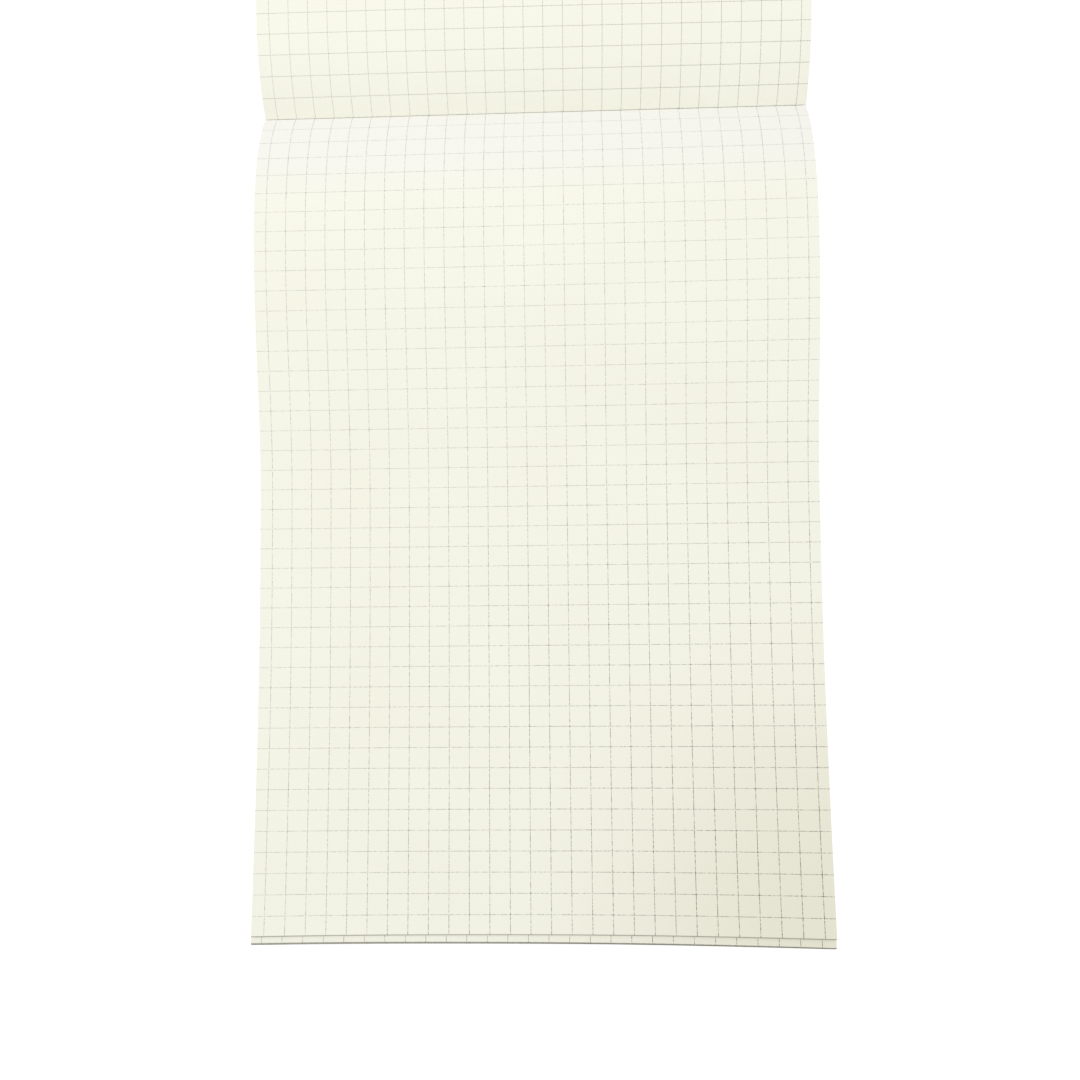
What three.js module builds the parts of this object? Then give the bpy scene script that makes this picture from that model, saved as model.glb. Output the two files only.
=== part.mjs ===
// Graph paper notepad, bound along its head and lying open in the middle on a table.
// Millimetres, +Z up. X runs across the page, the lower page lies towards -Y and the turned
// pages towards +Y. The origin is under the middle of the spine, on the table.
import * as THREE from 'three';

// Page and pad sizes
const pageWidth = 140;
const leafLength = 210;
const leafThickness = 0.1;
const leavesPerHalf = 20;
const looseLeavesPerHalf = 4;

// Covers and binding
const coverThickness = 0.5;
const tapeThickness = 0.25;
const tapeWing = 15;
const glueThickness = 0.5;
const glueMargin = 0.3;
const coverGap = 0.4;
const tapeStepGap = 0.3;

// Roots of the leaves, side by side on the glue. The first is the one next to the crease.
const firstRoot = 0.19;
const rootPitch = 0.19;
const rootRise = 0.12;
const rootGap = 0.05;
const flatFrom = 8;

// Shape of the lifted top leaf, measured from its own root
const looseLeafGap = 0.15;
const humpHeight = 8.5;
const humpAt = 33;
const humpSteepness = 0.92;
const humpEnd = 102;
const curlHeight = 3.8;
const curlFrom = 120;
const curlPower = 1.5;

// The sheets below stick out past the top leaf's edge, which its hump has drawn in
const stackOverhang = 2.2;

// Share of the top leaf's lift that each loose leaf takes, from the flat stack upwards
const liftShares = [0.3, 0.55, 0.85, 1];

const flatLeavesPerHalf = leavesPerHalf - looseLeavesPerHalf;
const glueTop = tapeThickness + glueThickness;
const rootLevel = glueTop + rootGap;
const rootSlope = rootRise / rootPitch;
const outerRoot = firstRoot + (leavesPerHalf - 1) * rootPitch;
const glueReach = outerRoot + leafThickness + glueMargin;
const coverStart = glueReach + coverGap;

// A lifted leaf's surface is worked out at places that lie closer together near the crease.
const rootSteps = 5;
const bendSteps = 3;
const humpSteps = 14;
const restSteps = 12;

function placesFrom(start, end, steps) {
  return Array.from({ length: steps }, (_, step) => start + ((end - start) * step) / steps);
}

const materials = {
  paper: { color: 0xf3f3e6, roughness: 0.85 },
  cover: { color: 0xb9a583, roughness: 0.8 },
  tape: { color: 0x3c4450, roughness: 0.75 },
  glue: { color: 0xf0ead6, roughness: 0.5 },
};

function materialOf(kind) {
  return new THREE.MeshStandardMaterial({ ...materials[kind], metalness: 0 });
}

// Leaves are counted here from the cover (0) up to the top leaf (leavesPerHalf - 1).
function rootOf(leaf) {
  return firstRoot + (leavesPerHalf - 1 - leaf) * rootPitch;
}

function flatLevel(leaf) {
  return coverThickness + leaf * leafThickness;
}

// Underside of a leaf in the flat stack: up the row of roots, then down onto the leaf below
function flatLeafUnderside(leaf) {
  const line = [[rootOf(leaf), rootLevel]];
  if (leaf > 0) line.push([outerRoot, rootLevel + leaf * rootRise]);
  line.push([flatFrom, flatLevel(leaf)]);
  return line;
}

function heightOn(line, distance) {
  const last = line[line.length - 1];
  if (distance >= last[0]) return last[1];
  const next = Math.max(1, line.findIndex(([place]) => place >= distance));
  const [[d0, z0], [d1, z1]] = [line[next - 1], line[next]];
  return z0 + ((z1 - z0) * (distance - d0)) / (d1 - d0);
}

// Top of the flat stack. Near the crease it is carried on at the slope of the roots.
function stackTop(distance) {
  const top = flatLeavesPerHalf - 1;
  if (distance < outerRoot) return rootLevel + leafThickness + (distance - rootOf(top)) * rootSlope;
  return heightOn(flatLeafUnderside(top), distance) + leafThickness;
}

// Height that the loose leaves take when they lie on the stack one above the other
function looseSpacing(count, distance) {
  const ramp = THREE.MathUtils.clamp((distance - outerRoot) / (flatFrom - outerRoot), 0, 1);
  return count * THREE.MathUtils.lerp(rootRise, leafThickness + looseLeafGap, ramp);
}

// Upper face of the top leaf: steep out of the crease, a hump, a flat stretch, a lifted end
function topLeafHeight(distance) {
  const start = rootLevel + leafThickness;
  const rest = flatLevel(flatLeavesPerHalf) + looseSpacing(looseLeavesPerHalf, leafLength) - start;
  const along = Math.max(0, distance - firstRoot);
  const t = along / humpAt;
  const rise = humpHeight * (t * Math.exp(1 - t)) ** humpSteepness;
  const past = THREE.MathUtils.clamp((along - humpAt) / (humpEnd - humpAt), 0, 1);
  const fall = rest + (humpHeight - rest) * Math.cos((Math.PI / 2) * past) ** 2;
  const curl = curlHeight * (Math.max(0, along - curlFrom) / (leafLength - curlFrom)) ** curlPower;
  return start + (along < humpAt ? rise : fall) + curl;
}

function looseLeafTop(count, distance) {
  const lying = stackTop(distance) + looseSpacing(looseLeavesPerHalf, distance);
  const lift = Math.max(0, topLeafHeight(distance) - lying);
  return stackTop(distance) + looseSpacing(count, distance) + liftShares[count - 1] * lift;
}

// Distance from the crease to the free end of the top leaf, which has its full length
function topLeafReach() {
  const step = 0.25;
  let length = 0;
  let place = firstRoot;
  while (length < leafLength) {
    length += Math.hypot(step, topLeafHeight(place + step) - topLeafHeight(place));
    place += step;
  }
  return place;
}

function looseLeafUnderside(count, end) {
  const places = [
    ...placesFrom(rootOf(flatLeavesPerHalf - 1 + count), outerRoot, rootSteps),
    ...placesFrom(outerRoot, flatFrom, bendSteps),
    ...placesFrom(flatFrom, humpEnd, humpSteps),
    ...placesFrom(humpEnd, end, restSteps),
    end,
  ];
  return places.map((place) => [place, looseLeafTop(count, place) - leafThickness]);
}

const topLeafEnd = topLeafReach();
const stackEnd = topLeafEnd + stackOverhang;

// Extrudes an outline in the Y-Z plane across the page; side is -1 below the crease, 1 above
function acrossPage(outline, side) {
  const shape = new THREE.Shape(outline.map(([distance, height]) => new THREE.Vector2(side * distance, height)));
  const geometry = new THREE.ExtrudeGeometry(shape, { depth: pageWidth, bevelEnabled: false });
  geometry.translate(0, 0, -pageWidth / 2);
  const turn = new THREE.Matrix4().makeBasis(
    new THREE.Vector3(0, 1, 0),
    new THREE.Vector3(0, 0, 1),
    new THREE.Vector3(1, 0, 0),
  );
  return geometry.applyMatrix4(turn);
}

// A leaf as a closed strip: a row of four corners at each place of its underside
function leafGeometry(underside, side) {
  const half = pageWidth / 2;
  const corners = underside.flatMap(([distance, height]) => [
    [-half, side * distance, height],
    [half, side * distance, height],
    [half, side * distance, height + leafThickness],
    [-half, side * distance, height + leafThickness],
  ]);
  const faces = [];
  const quad = (a, b, c, d) => faces.push(...(side < 0 ? [a, b, c, a, c, d] : [a, c, b, a, d, c]));
  for (let row = 0; row < underside.length - 1; row += 1) {
    for (let corner = 0; corner < 4; corner += 1) {
      const next = (corner + 1) % 4;
      quad(row * 4 + corner, row * 4 + next, row * 4 + 4 + next, row * 4 + 4 + corner);
    }
  }
  const last = (underside.length - 1) * 4;
  quad(3, 2, 1, 0);
  quad(last, last + 1, last + 2, last + 3);
  const geometry = new THREE.BufferGeometry();
  geometry.setAttribute('position', new THREE.Float32BufferAttribute(corners.flat(), 3));
  geometry.setIndex(faces);
  return geometry;
}

const notepad = new THREE.Group();

function add(name, geometry, kind) {
  const mesh = new THREE.Mesh(geometry, materialOf(kind));
  mesh.name = name;
  notepad.add(mesh);
}

// The cover is pressed thinner where the tape's wing lies over it, so its outside is flush.
function coverOutline() {
  const step = tapeWing + tapeStepGap;
  return [
    [coverStart, tapeThickness],
    [step, tapeThickness],
    [step, 0],
    [stackEnd, 0],
    [stackEnd, coverThickness],
    [coverStart, coverThickness],
  ];
}

function leafUnderside(leaf) {
  if (leaf < flatLeavesPerHalf) return [...flatLeafUnderside(leaf), [stackEnd, flatLevel(leaf)]];
  const count = leaf - flatLeavesPerHalf + 1;
  return looseLeafUnderside(count, leaf === leavesPerHalf - 1 ? topLeafEnd : stackEnd);
}

// Leaves are numbered from the front cover, which lies under the turned pages.
function leafName(number) {
  return `leaf_${String(number).padStart(2, '0')}`;
}

add('front_cover', acrossPage(coverOutline(), 1), 'cover');
add('back_cover', acrossPage(coverOutline(), -1), 'cover');
for (let leaf = 0; leaf < leavesPerHalf; leaf += 1) {
  add(leafName(leaf + 1), leafGeometry(leafUnderside(leaf), 1), 'paper');
  add(leafName(2 * leavesPerHalf - leaf), leafGeometry(leafUnderside(leaf), -1), 'paper');
}

const tapeOutline = [[-tapeWing, 0], [tapeWing, 0], [tapeWing, tapeThickness], [-tapeWing, tapeThickness]];
add('spine_tape', acrossPage(tapeOutline, 1), 'tape');
const glueOutline = [
  [-glueReach, tapeThickness],
  [glueReach, tapeThickness],
  [glueReach, glueTop],
  [-glueReach, glueTop],
];
add('spine_glue', acrossPage(glueOutline, 1), 'glue');

export default notepad;
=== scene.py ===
import bpy
import math
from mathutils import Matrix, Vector, noise
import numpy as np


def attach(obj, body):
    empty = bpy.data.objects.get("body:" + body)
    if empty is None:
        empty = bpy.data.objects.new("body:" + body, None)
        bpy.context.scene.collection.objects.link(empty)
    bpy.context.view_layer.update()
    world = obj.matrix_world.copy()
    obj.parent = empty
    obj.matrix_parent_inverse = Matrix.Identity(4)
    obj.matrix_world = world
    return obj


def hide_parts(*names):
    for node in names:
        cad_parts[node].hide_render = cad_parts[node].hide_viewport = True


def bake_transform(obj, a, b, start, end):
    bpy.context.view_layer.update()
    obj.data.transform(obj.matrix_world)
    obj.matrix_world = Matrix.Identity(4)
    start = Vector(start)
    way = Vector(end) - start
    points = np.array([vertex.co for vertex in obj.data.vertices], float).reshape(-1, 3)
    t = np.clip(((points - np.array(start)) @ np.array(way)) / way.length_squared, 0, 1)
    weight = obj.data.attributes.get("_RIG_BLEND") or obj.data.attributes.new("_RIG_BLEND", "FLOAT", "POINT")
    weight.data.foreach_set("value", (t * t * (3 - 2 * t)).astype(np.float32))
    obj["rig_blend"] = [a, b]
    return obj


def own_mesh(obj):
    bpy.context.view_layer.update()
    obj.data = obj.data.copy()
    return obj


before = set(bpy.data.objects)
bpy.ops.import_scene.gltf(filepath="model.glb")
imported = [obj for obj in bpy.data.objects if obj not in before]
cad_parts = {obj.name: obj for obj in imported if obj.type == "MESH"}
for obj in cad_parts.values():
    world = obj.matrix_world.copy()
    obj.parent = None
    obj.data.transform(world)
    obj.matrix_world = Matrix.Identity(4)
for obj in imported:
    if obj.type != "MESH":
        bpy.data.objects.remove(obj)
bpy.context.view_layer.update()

mm = 0.001


# Shape of the leaves

pad = {
    "pageWidth": 140,
    "paperWidth": 140.8,  # the paper stands a little proud of the covers
    "leafLength": 210,
    "leafThickness": 0.1,
    "leavesPerHalf": 20,
    "flatLeaves": 16,  # the others, above them, are loose
    "coverThickness": 0.5,
    "tapeThickness": 0.25,
    "glueTop": 0.75,
    "creaseRoot": 0.03,  # the two top leaves all but meet in the crease
    "firstRoot": 0.19,  # the other roots stand side by side on the glue
    "rootPitch": 0.19,
    "rootRise": 0.12,
    "flatFrom": 8,
    "stackEnd": 210.39,
    "topLeafEnd": 208.19,
    "looseGap": 0.15,
    "hingeDistance": 2.7,  # the top leaf turns along this line
    "foldHalf": 2,  # half the width of the binding that bends as the pad closes
}
halfPage = pad["pageWidth"] / 2
topLevel = pad["leavesPerHalf"] - 1  # a leaf's level counts up from the cover, from 0

lift = {
    "height": 8.5,
    "humpAt": 33,
    "steepness": 0.92,
    "humpEnd": 102,
    "curlHeight": 3.8,
    "curlFrom": 120,
    "curlPower": 1.5,
    "shares": [0.3, 0.55, 0.85, 1],  # how much of the top leaf's lift each loose leaf takes
    "endShares": [0.5, 0.92, 0.965, 1],  # the same at the free end
    "endSharesFrom": 120,
    "endSharesOver": 80,
    "cockle": 0.16,  # slow waves in the loose paper
    "cockleSize": 46,
    "cockleFull": 20,
    "cockleSeed": 5,  # sets the two sides of the crease apart in the noise
    "cornerFrom": 140,
    "cornerPower": 1.6,
    "easing": 0.15,  # rounds the line where a lifted leaf meets the stack
}

# Twist and bow of the loose leaves at distances from the crease, on the lower page (-1) and on
# the turned pages (1). Twist is the rise from the middle of the page to its right edge, and bow
# is the rise of both side edges. The corners of the free end curl up by cornerCurl more.
looseForm = {
    -1: {
        "places": [0, 60, 140, 210],
        "twist": [0, 0.71, 0.36, 0.36],
        "bow": [0, 0.85, 0.65, 0.8],
        "cornerCurl": 1.5,
    },
    1: {
        "places": [0, 26, 110, 210],
        "twist": [0, -0.37, -0.25, 0.2],
        "bow": [0, -0.2, 0.7, 0.9],
        "cornerCurl": 1.8,
    },
}


def clamp(value, low=0.0, high=1.0):
    return max(low, min(high, value))


def between(value, places, values):
    for first, second, a, b in zip(places, places[1:], values, values[1:]):
        if value <= second:
            return a + (b - a) * clamp((value - first) / (second - first))
    return values[-1]


def rootOf(level):
    if level == topLevel:
        return pad["creaseRoot"]
    return pad["firstRoot"] + (topLevel - level) * pad["rootPitch"]


# Top of a leaf that lies in the stack: up the row of roots, then down to its place on the cover
def lyingLine(level, distance):
    outerRoot = rootOf(0)
    flat = pad["flatLeaves"]
    slope = pad["rootRise"] / pad["rootPitch"]
    if distance < outerRoot:
        return pad["glueTop"] + pad["leafThickness"] + (distance - rootOf(level)) * slope
    ramp = clamp((distance - outerRoot) / (pad["flatFrom"] - outerRoot))
    atRoots = pad["glueTop"] + pad["leafThickness"] + level * pad["rootRise"]
    atRest = pad["coverThickness"] + (min(level, flat - 1) + 1) * pad["leafThickness"]
    atRest += max(0, level - flat + 1) * (pad["leafThickness"] + pad["looseGap"])
    return atRoots + (atRest - atRoots) * ramp


bendRounding = (-0.7, -0.35, 0, 0.35, 0.7)


def lyingTop(level, distance):  # the same with its bends rounded off
    return sum(lyingLine(level, distance + shift) for shift in bendRounding) / len(bendRounding)


def topLeafHeight(distance):
    start = pad["glueTop"] + pad["leafThickness"]
    rest = lyingLine(topLevel, pad["leafLength"]) - start
    along = max(0, distance - pad["creaseRoot"])
    t = along / lift["humpAt"]
    past = clamp((along - lift["humpAt"]) / (lift["humpEnd"] - lift["humpAt"]))
    rise = lift["height"] * (t * math.exp(1 - t)) ** lift["steepness"]
    fall = rest + (lift["height"] - rest) * math.cos(math.pi / 2 * past) ** 2
    curl = max(0, along - lift["curlFrom"]) / (pad["leafLength"] - lift["curlFrom"])
    return start + (rise if t < 1 else fall) + lift["curlHeight"] * curl ** lift["curlPower"]


def sway(side, across, distance):
    form = looseForm[side]
    edge = across / halfPage
    size = lift["cockleSize"]
    wave = noise.noise(Vector((across / size, distance / size, lift["cockleSeed"] * side)))
    corner = max(0, distance - lift["cornerFrom"]) / (pad["leafLength"] - lift["cornerFrom"])
    curl = form["cornerCurl"] * corner ** lift["cornerPower"]
    rise = between(distance, form["places"], form["twist"]) * edge
    rise += (between(distance, form["places"], form["bow"]) + curl) * edge ** 2
    return rise + lift["cockle"] * wave * clamp(distance / lift["cockleFull"])


def leafTop(level, side, across, distance):
    height = lyingTop(level, distance)
    if level < pad["flatLeaves"]:
        return height
    free = topLeafHeight(distance) + sway(side, across, distance) - lyingTop(topLevel, distance)
    free = (free + math.hypot(free, lift["easing"])) / 2
    count = level - pad["flatLeaves"]
    share, endShare = lift["shares"][count], lift["endShares"][count]
    atEnd = clamp((distance - lift["endSharesFrom"]) / lift["endSharesOver"])
    return height + (share + (endShare - share) * atEnd) * free


# Rows of a leaf's mesh, as distances from the crease. They are close together at the roots.
rootRows = [pad["creaseRoot"], 0.1, pad["hingeDistance"]]
rootRows += [pad["rootPitch"] * step for step in range(1, pad["leavesPerHalf"] + 1)]
rootRows += [4.2, 4.6, 5, 5.5, 6, 6.6, 7.3, 8, 9, 10.5]
sheetMesh = {
    "looseRows": sorted(rootRows + [12.5 + 2.5 * step for step in range(79)]),
    "looseColumns": 28,
    "flatRows": sorted(rootRows + [16, 40, 120]),
    "flatColumns": 6,
    "lastRow": 0.5,  # no row is nearer than this to the free end
    "slack": 0.01,
}
wholeLeaf = (0, 999)  # the span of a leaf that is made in one piece

# Offsets of each leaf's free end, as a handled pad has them: sideways, along and askew. A leaf
# that only swings about its root has the same number sideways and askew.
handled = {
    20: (1.2, 0, 1.2),
    21: (0.12, -0.56, 0.15),
    22: (0.05, -0.8, -0.5),
    23: (-0.1, -0.44, -0.3),
    24: (-0.3, -0.1, -0.3),
}
otherLeaves = {"swing": 0.16, "reach": 0.12}
askewFull = 40  # distance from the crease at which a leaf is fully askew

# The ruling is printed this far to the right of the middle of each leaf
rulingShifts = {20: 0.4, 21: 0.2, 22: -0.4}
usualRulingShift = 0.25
rulingInset = 0.12  # from the last line to the free end of all but the top leaves
leafNoiseStep = 37  # sets the leaves apart in the noise of their paper


def offsetsOf(number):
    swing = otherLeaves["swing"] * math.sin(number * 2.4)
    reach = otherLeaves["reach"] * math.sin(number * 5.1 + 1)
    return handled.get(number, (swing, reach, swing))


# Side of the crease and level of a leaf. The leaves are numbered from the front cover.
def placeOf(number):
    if number <= pad["leavesPerHalf"]:
        return 1, number - 1
    return -1, 2 * pad["leavesPerHalf"] - number


def addGrid(name, columns, rows):
    bpy.ops.object.select_all(action="DESELECT")
    bpy.ops.mesh.primitive_grid_add(
        x_subdivisions=columns, y_subdivisions=rows, size=1, location=(0, 0, 0)
    )
    grid = bpy.context.object
    grid.name = grid.data.name = name
    return grid


def thicken(piece, thickness, material, edgeMaterial=None):
    piece.data.materials.append(material)
    modifier = piece.modifiers.new("Thickness", "SOLIDIFY")
    modifier.thickness = thickness * mm
    modifier.offset = -1
    if edgeMaterial:
        piece.data.materials.append(edgeMaterial)
        modifier.material_offset_rim = 1
    bpy.ops.object.modifier_apply(modifier=modifier.name)
    bpy.ops.object.shade_smooth_by_angle(angle=math.radians(35))


def leafArc(level, side, rows):  # length of paper from the root to each row
    lengths = [0.0]
    for a, b in zip(rows, rows[1:]):
        climb = leafTop(level, side, 0, b) - leafTop(level, side, 0, a)
        lengths.append(lengths[-1] + math.hypot(b - a, climb))
    return lengths


def makeSheet(name, number, span):
    side, level = placeOf(number)
    kind = "loose" if level >= pad["flatLeaves"] else "flat"
    slide, reach, skew = offsetsOf(number)
    end = (pad["topLeafEnd"] if level == topLevel else pad["stackEnd"]) + reach
    slack = sheetMesh["slack"]
    first, last = rootOf(level) - slack, end - sheetMesh["lastRow"]
    rows = [row for row in sheetMesh[kind + "Rows"] if first < row < last] + [end]
    kept = [n for n, row in enumerate(rows) if span[0] - slack < row < span[1] + slack]
    arc = leafArc(level, side, rows)
    # The ruling is counted from the crease on the top leaves and from the free end on the others
    ruledFrom = 0 if level == topLevel else pad["leafLength"] + rulingInset - arc[-1]
    printedAt = rulingShifts.get(number, usualRulingShift)
    sheet = addGrid(name, sheetMesh[kind + "Columns"], len(kept) - 1)
    places, ends = [], []
    for point in sheet.data.vertices:
        across = point.co.x * pad["paperWidth"]
        step = round((point.co.y + 0.5) * (len(kept) - 1))
        row = kept[step] if side > 0 else kept[-1 - step]
        distance = rows[row]
        height = leafTop(level, side, across, distance)
        places += [across - printedAt, ruledFrom + arc[row], -side * leafNoiseStep * number]
        ends.append(arc[-1] - arc[row])
        turned = side * distance - side * skew / end * across * clamp(distance / askewFull)
        point.co = Vector((across + slide * distance / end, turned, height)) * mm
    # Flat place on the page and distance from its free end, in millimetres. The place's third
    # number differs for each leaf, and is above zero for those of the lower page.
    attributes = sheet.data.attributes
    attributes.new("pagePlace", "FLOAT_VECTOR", "POINT").data.foreach_set("vector", places)
    attributes.new("endAway", "FLOAT", "POINT").data.foreach_set("value", ends)
    thicken(sheet, pad["leafThickness"], paper, cutPaper)
    return sheet


# Materials

def setInputs(tree, node, inputs):
    for name, source in inputs.items():
        if isinstance(source, bpy.types.NodeSocket):
            tree.links.new(source, node.inputs[name])
        else:
            node.inputs[name].default_value = source


def addNode(tree, kind, inputs=None, **settings):
    made = tree.nodes.new(kind)
    for name, value in settings.items():
        setattr(made, name, value)
    setInputs(tree, made, inputs or {})
    return made


def doMath(tree, operation, *sources):
    return addNode(tree, "ShaderNodeMath", dict(enumerate(sources)), operation=operation).outputs[0]


def spread(tree, value, low, high, to=(0, 1), smooth=False):  # map a range of values to another
    kind = "SMOOTHSTEP" if smooth else "LINEAR"
    inputs = {"Value": value, "From Min": low, "From Max": high, "To Min": to[0], "To Max": to[1]}
    return addNode(tree, "ShaderNodeMapRange", inputs, interpolation_type=kind).outputs["Result"]


def splitPlace(tree, place):
    return addNode(tree, "ShaderNodeSeparateXYZ", {"Vector": place}).outputs


def scalePlace(tree, place, scale):
    return addNode(tree, "ShaderNodeMapping", {"Vector": place, "Scale": scale}).outputs[0]


def noiseOf(tree, place, scale, detail=2, roughness=0.5):
    inputs = {"Vector": place, "Scale": scale, "Detail": detail, "Roughness": roughness}
    return addNode(tree, "ShaderNodeTexNoise", inputs).outputs["Fac"]


noiseRange = (0.3, 0.7)  # nearly all of a noise's values lie in this range


def mixColours(tree, factor, a, b):
    made = addNode(tree, "ShaderNodeMix", {0: factor}, data_type="RGBA")
    for socket, source in ((made.inputs[6], a), (made.inputs[7], b)):
        if isinstance(source, bpy.types.NodeSocket):
            tree.links.new(source, socket)
        else:
            socket.default_value = (*source, 1)
    return made.outputs[2]


def newGroup(name, inputs, outputs):
    tree = bpy.data.node_groups.new(name, "ShaderNodeTree")
    for label, value in inputs.items():
        kind = "NodeSocketVector" if value is None else "NodeSocketFloat"
        socket = tree.interface.new_socket(label, in_out="INPUT", socket_type=kind)
        if value is not None:
            socket.default_value = value
    for label in outputs:
        tree.interface.new_socket(label, in_out="OUTPUT", socket_type="NodeSocketFloat")
    return tree, tree.nodes.new("NodeGroupInput").outputs, tree.nodes.new("NodeGroupOutput").inputs


def useGroup(tree, group, inputs):
    made = tree.nodes.new("ShaderNodeGroup")
    made.node_tree = group
    setInputs(tree, made, inputs)
    return made.outputs


# Thin printed lines every pitch, both ways. Lines across start at the crease and take their
# share of the ink. The lines along stand half a pitch off the middle of the page. Noise breaks
# the lines up into dots.
gridInputs = {"Place": None, "Pitch": 5, "Line Width": 0.2, "Feather": 0.05}
gridInputs |= {"Break Up": 0.5, "Across Share": 1}
gridTree, given, result = newGroup("printedGrid", gridInputs, ["Ink"])
split = splitPlace(gridTree, given["Place"])
halfWidth = doMath(gridTree, "MULTIPLY", given["Line Width"], 0.5)
near = doMath(gridTree, "SUBTRACT", halfWidth, given["Feather"])
far = doMath(gridTree, "ADD", halfWidth, given["Feather"])
marks = []
for axis, offset, share in (("X", 0.5, 1), ("Y", 0.0, given["Across Share"])):
    pitches = doMath(gridTree, "DIVIDE", split[axis], given["Pitch"])
    cell = doMath(gridTree, "PINGPONG", doMath(gridTree, "ADD", pitches, offset), 0.5)
    away = doMath(gridTree, "MULTIPLY", cell, given["Pitch"])
    line = spread(gridTree, away, far, near, smooth=True)
    marks.append(doMath(gridTree, "MULTIPLY", line, share))
crossingInk = 1.35  # two lines that cross print a little darker
inked = doMath(gridTree, "MINIMUM", doMath(gridTree, "ADD", *marks), crossingInk)
weakest = doMath(gridTree, "SUBTRACT", 1, given["Break Up"])
dots = spread(gridTree, noiseOf(gridTree, given["Place"], 2.8, 1), 0.42, 0.58, (weakest, 1))
gridTree.links.new(doMath(gridTree, "MULTIPLY", inked, dots), result["Ink"])

# Pulp: slow clouds, fine felted fibres as a height, and single darker flecks
pulpInputs = {"Place": None, "Grain": 1, "Fleck Amount": 0.3}
pulpTree, given, result = newGroup("pulp", pulpInputs, ["Cloud", "Fibre", "Fleck"])
stretched = scalePlace(pulpTree, given["Place"], (1, 0.45, 1))
fibreScale = doMath(pulpTree, "DIVIDE", 3.2, given["Grain"])
fleckScale = doMath(pulpTree, "DIVIDE", 1.1, given["Grain"])
fleckNoise = noiseOf(pulpTree, stretched, fleckScale, 2, 0.4)
fleckFrom = spread(pulpTree, given["Fleck Amount"], 0, 1, (0.8, 0.55))
fleckTo = doMath(pulpTree, "ADD", fleckFrom, 0.05)
fleck = spread(pulpTree, fleckNoise, fleckFrom, fleckTo, smooth=True)
pulpTree.links.new(noiseOf(pulpTree, given["Place"], 0.035, 3), result["Cloud"])
pulpTree.links.new(noiseOf(pulpTree, stretched, fibreScale, 5, 0.62), result["Fibre"])
pulpTree.links.new(fleck, result["Fleck"])

# Plain weave: rounded threads that pass over each other by turns
weaveTree, given, result = newGroup("clothWeave", {"Place": None, "Thread Pitch": 0.45}, ["Height"])
split = splitPlace(weaveTree, given["Place"])
threads, counts = [], []
for axis in "XY":
    turn = doMath(weaveTree, "DIVIDE", split[axis], given["Thread Pitch"])
    middle = doMath(weaveTree, "SUBTRACT", doMath(weaveTree, "FRACT", turn), 0.5)
    dip = doMath(weaveTree, "MULTIPLY", doMath(weaveTree, "MULTIPLY", middle, middle), 4)
    threads.append(doMath(weaveTree, "SUBTRACT", 1, dip))
    counts.append(doMath(weaveTree, "FLOOR", turn))
over = doMath(weaveTree, "PINGPONG", doMath(weaveTree, "ADD", *counts), 1)
under = doMath(weaveTree, "SUBTRACT", 1, over)
crossed = [
    doMath(weaveTree, "MULTIPLY", thread, spread(weaveTree, shown, 0, 1, (0.5, 1)))
    for thread, shown in zip(threads, (over, under))
]
weaveTree.links.new(doMath(weaveTree, "MAXIMUM", *crossed), result["Height"])

# Rubbed edges of a sheet of card: a ragged band inside its side and end edges
rubInputs = {"Place": None, "Half Width": 70, "Reach": 210, "Band": 1.2}
rubTree, given, result = newGroup("edgeRub", rubInputs, ["Rub"])
split = splitPlace(rubTree, given["Place"])
sideAway = doMath(rubTree, "SUBTRACT", given["Half Width"], doMath(rubTree, "ABSOLUTE", split["X"]))
endAway = doMath(rubTree, "SUBTRACT", given["Reach"], doMath(rubTree, "ABSOLUTE", split["Y"]))
edgeAway = doMath(rubTree, "MINIMUM", sideAway, endAway)
raggedness = spread(rubTree, noiseOf(rubTree, given["Place"], 1.1, 6, 0.65), 0.35, 0.75, (0.1, 1.6))
raggedBand = doMath(rubTree, "MULTIPLY", given["Band"], raggedness)
rubTree.links.new(spread(rubTree, edgeAway, raggedBand, 0, smooth=True), result["Rub"])


def newMaterial(name, roughness, specular):
    material = bpy.data.materials.new(name)
    material.use_nodes = True
    tree = material.node_tree
    shader = tree.nodes["Principled BSDF"]
    shader.inputs["Roughness"].default_value = roughness
    shader.inputs["Specular IOR Level"].default_value = specular
    return material, tree, shader


def readAttribute(tree, name, output):
    return addNode(tree, "ShaderNodeAttribute", attribute_name=name).outputs[output]


def addBump(tree, shader, height, distance):
    inputs = {"Height": height, "Distance": distance * mm, "Strength": 1}
    bump = addNode(tree, "ShaderNodeBump", inputs)
    tree.links.new(bump.outputs["Normal"], shader.inputs["Normal"])


paperLook = {
    "white": (0.907, 0.907, 0.806),
    "cream": (0.896, 0.893, 0.782),
    "cloudRange": (0.35, 0.7),
    "litNearCrease": (0.887, 0.883, 0.842),  # painted light: the lower page is painted whiter near the binding, where its slope faces the lamp
    "litNearCreaseReach": (8, 34),
    "cornerShade": (0.80, 0.785, 0.655),  # painted shade: the page darkens towards the lower right corner, far from the lamp
    "cornerShadeReach": (86, 0),
    "fleck": (0.66, 0.62, 0.5),
    "fleckStrength": 0.12,
    "ink": (0.11, 0.105, 0.085),
    "inkStrength": (0.52, 1.12),  # the print is stronger towards the lower right corner
    "inkReach": (155, 0),
    "turnedInk": (0.5, 0.72),  # strength at the left and right edge of the turned pages
    "acrossShares": (1, 0.78),  # how strong lines across are on the turned and the lower pages
    "endShadow": (0.2, 0.19, 0.16),  # painted shadow: a thin dark line along the free end, where the edge throws its shadow
    "endShadowStrength": 0.85,
    "endShadowReach": (0.08, 0.26),
    "roughness": (0.8, 0.92),
    "relief": 0.012,
}
printing = {"Pitch": 5, "Line Width": 0.16, "Feather": 0.04, "Break Up": 0.75}
paper, tree, shader = newMaterial("graphPaper", 0.86, 0.3)
place = readAttribute(tree, "pagePlace", "Vector")
split = splitPlace(tree, place)
pulp = useGroup(tree, pulpTree, {"Place": place, "Grain": 1, "Fleck Amount": 0.15})
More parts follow.
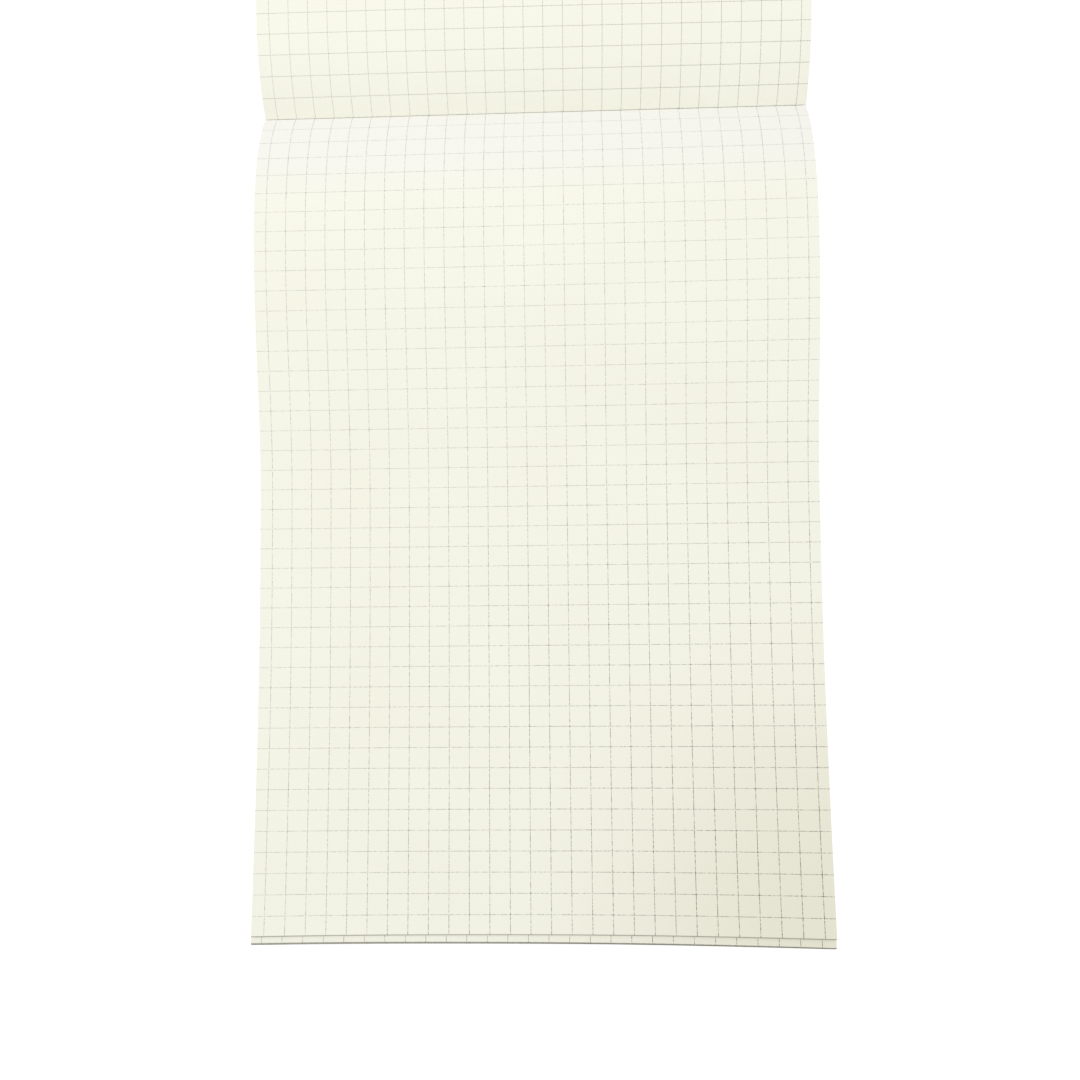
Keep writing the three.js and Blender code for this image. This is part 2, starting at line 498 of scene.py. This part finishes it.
tone = spread(tree, pulp["Cloud"], *paperLook["cloudRange"])
colour = mixColours(tree, tone, paperLook["white"], paperLook["cream"])
# Painted light: the lower page turns whiter near the crease, standing in for the light on its rising slope
paintedLightNearCrease = spread(tree, split["Y"], *paperLook["litNearCreaseReach"], (1, 0), smooth=True)
lowerPage = doMath(tree, "GREATER_THAN", split["Z"], 0)
colour = mixColours(tree, doMath(tree, "MULTIPLY", paintedLightNearCrease, lowerPage), colour, paperLook["litNearCrease"])
flatSpot = addNode(tree, "ShaderNodeCombineXYZ", {"X": split["X"], "Y": split["Y"]}).outputs[0]
corner = (halfPage, pad["leafLength"], 0)
measured = addNode(tree, "ShaderNodeVectorMath", {0: flatSpot, 1: corner}, operation="DISTANCE")
cornerAway = measured.outputs["Value"]
# Painted shade: darker towards the lower right corner, where the lamp's light falls off
paintedCornerShade = spread(tree, cornerAway, *paperLook["cornerShadeReach"], smooth=True)
colour = mixColours(tree, paintedCornerShade, colour, paperLook["cornerShade"])
fleckShade = doMath(tree, "MULTIPLY", pulp["Fleck"], paperLook["fleckStrength"])
colour = mixColours(tree, fleckShade, colour, paperLook["fleck"])
acrossShare = spread(tree, lowerPage, 0, 1, paperLook["acrossShares"])
ruling = useGroup(tree, gridTree, printing | {"Place": place, "Across Share": acrossShare})
pressed = spread(tree, cornerAway, *paperLook["inkReach"], paperLook["inkStrength"])
turnedInk = spread(tree, split["X"], -halfPage, halfPage, paperLook["turnedInk"])
turnedPage = doMath(tree, "SUBTRACT", 1, lowerPage)
pressed = doMath(tree, "MAXIMUM", pressed, doMath(tree, "MULTIPLY", turnedInk, turnedPage))
inkCover = doMath(tree, "MINIMUM", doMath(tree, "MULTIPLY", ruling["Ink"], pressed), 1)
colour = mixColours(tree, inkCover, colour, paperLook["ink"])
# Painted shadow: a thin dark line along each leaf's free end
endAway = readAttribute(tree, "endAway", "Fac")
paintedEndShadow = spread(tree, endAway, *paperLook["endShadowReach"], (paperLook["endShadowStrength"], 0))
colour = mixColours(tree, paintedEndShadow, colour, paperLook["endShadow"])
gloss = spread(tree, pulp["Fibre"], *noiseRange, paperLook["roughness"])
tree.links.new(colour, shader.inputs["Base Color"])
tree.links.new(gloss, shader.inputs["Roughness"])
addBump(tree, shader, pulp["Fibre"], paperLook["relief"])

# Cut edges show pulp and a little dust, and a trace of each line that runs off the page
edgeLook = {
    "paper": (0.90, 0.895, 0.80),
    "dust": (0.79, 0.775, 0.67),
    "dustRange": (0.35, 0.75),
    "dustStrength": 0.8,
    "lineStrength": 0.16,
    "relief": 0.02,
}
cutPaper, tree, shader = newMaterial("cutPaperEdge", 0.95, 0.15)
place = readAttribute(tree, "pagePlace", "Vector")
pulp = useGroup(tree, pulpTree, {"Place": place, "Grain": 0.7, "Fleck Amount": 0.3})
dustiness = spread(tree, pulp["Fibre"], *edgeLook["dustRange"], (0, edgeLook["dustStrength"]))
colour = mixColours(tree, dustiness, edgeLook["paper"], edgeLook["dust"])
ruling = useGroup(tree, gridTree, printing | {"Place": place})
trace = doMath(tree, "MULTIPLY", ruling["Ink"], edgeLook["lineStrength"])
colour = mixColours(tree, trace, colour, paperLook["ink"])
tree.links.new(colour, shader.inputs["Base Color"])
addBump(tree, shader, pulp["Fibre"], edgeLook["relief"])

cardLook = {
    "light": (0.50, 0.385, 0.245),
    "dark": (0.395, 0.295, 0.18),
    "cloudRange": (0.3, 0.8),
    "cloudStrength": 0.35,
    "fleck": (0.25, 0.175, 0.10),
    "fleckStrength": 0.7,
    "rubbed": (0.66, 0.56, 0.42),
    "rubStrength": 0.6,
    "rubBand": 0.9,
    "reach": 210.4,  # from the crease to the card's end
    "roughness": (0.72, 0.88),
    "relief": 0.03,
}
card, tree, shader = newMaterial("kraftCard", 0.8, 0.3)
objectPlace = addNode(tree, "ShaderNodeTexCoord").outputs["Object"]
place = scalePlace(tree, objectPlace, (1000, 1000, 1000))
pulp = useGroup(tree, pulpTree, {"Place": place, "Grain": 0.55, "Fleck Amount": 0.55})
tone = spread(tree, pulp["Fibre"], *noiseRange)
colour = mixColours(tree, tone, cardLook["dark"], cardLook["light"])
clouding = spread(tree, pulp["Cloud"], *cardLook["cloudRange"], (0, cardLook["cloudStrength"]))
colour = mixColours(tree, clouding, colour, cardLook["dark"])
fleckShade = doMath(tree, "MULTIPLY", pulp["Fleck"], cardLook["fleckStrength"])
colour = mixColours(tree, fleckShade, colour, cardLook["fleck"])
cardSize = {"Half Width": halfPage, "Reach": cardLook["reach"], "Band": cardLook["rubBand"]}
rub = useGroup(tree, rubTree, cardSize | {"Place": place})
rubbing = doMath(tree, "MULTIPLY", rub["Rub"], cardLook["rubStrength"])
colour = mixColours(tree, rubbing, colour, cardLook["rubbed"])
gloss = spread(tree, pulp["Fibre"], *noiseRange, cardLook["roughness"])
tree.links.new(colour, shader.inputs["Base Color"])
tree.links.new(gloss, shader.inputs["Roughness"])
addBump(tree, shader, pulp["Fibre"], cardLook["relief"])

clothLook = {
    "thread": (0.048, 0.056, 0.072),
    # painted shade in the dips between the threads
    "dip": (0.016, 0.019, 0.026),
    "dipRange": (0.2, 0.9),
    "worn": (0.16, 0.17, 0.19),
    "wornRange": (0.55, 0.75),
    "wornStrength": 0.45,
    "threadPitch": 0.42,
    "roughness": (0.85, 0.62),
    "sheen": 0.15,
    "relief": 0.06,
}
cloth, tree, shader = newMaterial("bindingCloth", 0.7, 0.35)
shader.inputs["Sheen Weight"].default_value = clothLook["sheen"]
place = readAttribute(tree, "flatPlace", "Vector")
weave = useGroup(tree, weaveTree, {"Place": place, "Thread Pitch": clothLook["threadPitch"]})
# Painted shade: the dips between the threads are coloured darker than the raised threads
raised = spread(tree, weave["Height"], *clothLook["dipRange"])
colour = mixColours(tree, raised, clothLook["dip"], clothLook["thread"])
wornRange, wornTo = clothLook["wornRange"], (0, clothLook["wornStrength"])
wear = spread(tree, noiseOf(tree, place, 0.12, 4), *wornRange, wornTo)
colour = mixColours(tree, doMath(tree, "MULTIPLY", wear, weave["Height"]), colour, clothLook["worn"])
gloss = spread(tree, weave["Height"], 0, 1, clothLook["roughness"])
tree.links.new(colour, shader.inputs["Base Color"])
tree.links.new(gloss, shader.inputs["Roughness"])
addBump(tree, shader, weave["Height"], clothLook["relief"])

glueLook = {
    "clear": (0.78, 0.74, 0.62),
    "dull": (0.66, 0.61, 0.49),
    "stroke": (0.25, 2.2, 1),  # brushed on across the page
    "roughness": (0.35, 0.6),
    "relief": 0.08,
}
glue, tree, shader = newMaterial("paddingGlue", 0.45, 0.5)
place = readAttribute(tree, "flatPlace", "Vector")
streaks = noiseOf(tree, scalePlace(tree, place, glueLook["stroke"]), 0.9, 4)
colour = mixColours(tree, spread(tree, streaks, *noiseRange), glueLook["clear"], glueLook["dull"])
gloss = spread(tree, streaks, *noiseRange, glueLook["roughness"])
tree.links.new(colour, shader.inputs["Base Color"])
tree.links.new(gloss, shader.inputs["Roughness"])
addBump(tree, shader, streaks, glueLook["relief"])
print("materials made")


def standFor(node):
    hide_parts(node)


# Leaves. As the pad closes, the flat ones with roots near the crease bend with the glue, and the
# others move with their side of the pad.
turningLeaf = 21
fold = pad["foldHalf"] * mm
for number in range(1, 2 * pad["leavesPerHalf"] + 1):
    cadName = f"leaf_{number:02d}"
    side, level = placeOf(number)
    spans = [("", wholeLeaf, "upper_pad" if side > 0 else "lower_pad")]
    if number == turningLeaf:
        hinge = pad["hingeDistance"]
        spans = [("_root", (0, hinge), "lower_pad"), ("_page", (hinge, wholeLeaf[1]), "top_leaf")]
    for ending, span, carrier in spans:
        sheet = makeSheet(f"sheet_{number:02d}{ending}", number, span)
        standFor(cadName)
        if level >= pad["flatLeaves"]:
            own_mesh(sheet)
        if level < pad["flatLeaves"] and rootOf(level) < pad["foldHalf"]:
            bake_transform(sheet, "lower_pad", "upper_pad", start=(0, -fold, 0), end=(0, fold, 0))
        else:
            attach(sheet, carrier)
print("leaves made")


# Binding: cloth tape and the glue on it

binding = {
    "columns": 56,
    "tapeWing": 15,
    "tapeJoin": 2.2,  # the tape's two pieces meet here
    "coverFold": (4.2, 5.0),
    "foldStretch": 2.1,  # the closed spine draws out the flat tape by this much
    "glueReach": 4.2,
    "glueInset": 0.15,
    "glueRipple": 0.03,
    "rippleSize": (3, 1.5),
    "rippleSeed": 2,
}


def makeStrip(name, rows, halfWidth, top, thickness, material, ripple=0.0):
    strip = addGrid(name, binding["columns"], len(rows) - 1)
    rippleWidth, rippleLength = binding["rippleSize"]
    places = []
    for point in strip.data.vertices:
        across = point.co.x * 2 * halfWidth
        along = rows[round((point.co.y + 0.5) * (len(rows) - 1))]
        spot = Vector((across / rippleWidth, along / rippleLength, binding["rippleSeed"]))
        wave = ripple * noise.noise(spot)
        drawnOut = (binding["foldStretch"] - 1) * clamp(along, -pad["foldHalf"], pad["foldHalf"])
        places += [across, along + drawnOut, 0]
        point.co = Vector((across, along, top + wave)) * mm
    flatPlace = strip.data.attributes.new("flatPlace", "FLOAT_VECTOR", "POINT")
    flatPlace.data.foreach_set("vector", places)
    thicken(strip, thickness, material)
    return strip


def steps(first, last, count):
    return [first + (last - first) * n / count for n in range(count + 1)]


# The rows of the strips are close together where they bend
join = binding["tapeJoin"]
wing = binding["tapeWing"]
bend = pad["foldHalf"]
tapeHeight = pad["tapeThickness"]
tapeRows = steps(-wing, -3, 6) + steps(-bend - 0.4, bend, 22) + [join]
spineTape = makeStrip("spineTape", tapeRows, halfPage, tapeHeight, tapeHeight, cloth)
standFor("spine_tape")
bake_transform(spineTape, "lower_pad", "upper_pad", start=(0, -fold, 0), end=(0, fold, 0))

turnFrom, turnTo = binding["coverFold"]
wingRows = [join, 2.9, 3.6] + steps(turnFrom - 0.1, turnTo + 0.1, 16) + steps(5.8, wing, 5)
tapeWing = makeStrip("tapeWing", wingRows, halfPage, tapeHeight, tapeHeight, cloth)
standFor("spine_tape")
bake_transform(tapeWing, "upper_pad", "front_cover", start=(0, turnFrom * mm, 0), end=(0, turnTo * mm, 0))

reach = binding["glueReach"]
glueRows = steps(-reach, -bend - 0.3, 5) + steps(-bend, bend, 20) + steps(bend + 0.3, reach, 5)
glueHalf = halfPage - binding["glueInset"]
glueTop = pad["glueTop"]
ripple = binding["glueRipple"]
spineGlue = makeStrip("spineGlue", glueRows, glueHalf, glueTop, glueTop - tapeHeight, glue, ripple)
standFor("spine_glue")
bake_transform(spineGlue, "lower_pad", "upper_pad", start=(0, -fold, 0), end=(0, fold, 0))
print("binding made")


# Covers keep the CAD shape
for name in ("front_cover", "back_cover"):
    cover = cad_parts[name]
    cover.data.materials.clear()
    cover.data.materials.append(card)
print("covers painted")


# Table, light and camera

# The table is a plain pale surface, but the camera sees it nearly white with a faint shadow
table = {"size": 6, "height": -0.00002, "albedo": 0.9, "cameraWhite": 0.72, "cameraShadow": 0.42}
bpy.ops.mesh.primitive_plane_add(size=table["size"], location=(0, 0, table["height"]))
floor = bpy.context.object
floor.name = "tableTop"
floorMaterial = bpy.data.materials.new("paleTable")
floorMaterial.use_nodes = True
tree = floorMaterial.node_tree
tree.nodes.clear()
plain = addNode(tree, "ShaderNodeBsdfDiffuse", {"Color": (table["albedo"],) * 3 + (1,)})
shaded = addNode(tree, "ShaderNodeBsdfDiffuse", {"Color": (table["cameraShadow"],) * 3 + (1,)})
glow = addNode(tree, "ShaderNodeEmission", {"Color": (1, 1, 1, 1), "Strength": table["cameraWhite"]})
seen = addNode(tree, "ShaderNodeAddShader", {0: shaded.outputs[0], 1: glow.outputs[0]})
rays = addNode(tree, "ShaderNodeLightPath").outputs
choice = {0: rays["Is Camera Ray"], 1: plain.outputs[0], 2: seen.outputs[0]}
surface = addNode(tree, "ShaderNodeMixShader", choice).outputs[0]
addNode(tree, "ShaderNodeOutputMaterial", {"Surface": surface})
floor.data.materials.append(floorMaterial)

# The room lights the pad from all sides. Seen directly or mirrored, it is plain white.
sky = {"strength": 0.72, "colour": (1.0, 1.0, 0.985, 1)}
world = bpy.data.worlds.new("softRoom")
bpy.context.scene.world = world
world.use_nodes = True
tree = world.node_tree
tree.nodes.clear()
room = addNode(tree, "ShaderNodeBackground", {"Color": sky["colour"], "Strength": sky["strength"]})
white = addNode(tree, "ShaderNodeBackground", {"Color": (1, 1, 1, 1), "Strength": 1})
rays = addNode(tree, "ShaderNodeLightPath").outputs
direct = doMath(tree, "MAXIMUM", rays["Is Camera Ray"], rays["Is Glossy Ray"])
direct = doMath(tree, "MAXIMUM", direct, rays["Is Transmission Ray"])
choice = {0: direct, 1: room.outputs[0], 2: white.outputs[0]}
surface = addNode(tree, "ShaderNodeMixShader", choice).outputs[0]
addNode(tree, "ShaderNodeOutputWorld", {"Surface": surface})

softbox = {"location": (-0.11, 0.12, 0.7), "target": (0, -0.08, 0), "size": 0.25, "power": 1.7}
bpy.ops.object.light_add(type="AREA", location=softbox["location"])
key = bpy.context.object
key.name = "softbox"
key.data.shape = "SQUARE"
key.data.size = softbox["size"]
key.data.energy = softbox["power"]
aim = Vector(softbox["target"]) - Vector(softbox["location"])
key.rotation_euler = aim.to_track_quat("-Z", "Y").to_euler()

view = {"location": (8.58, -123.02, 229.28), "turn": (2.873, 1.994, -0.573), "lens": 30}
turn = [math.radians(angle) for angle in view["turn"]]
bpy.ops.object.camera_add(location=Vector(view["location"]) * mm, rotation=turn)
camera = bpy.context.object
camera.data.lens = view["lens"]
camera.data.sensor_width = 36
camera.data.clip_start = 0.01
bpy.context.scene.camera = camera
bpy.context.scene.view_settings.view_transform = "Standard"
print("table, light and camera set")
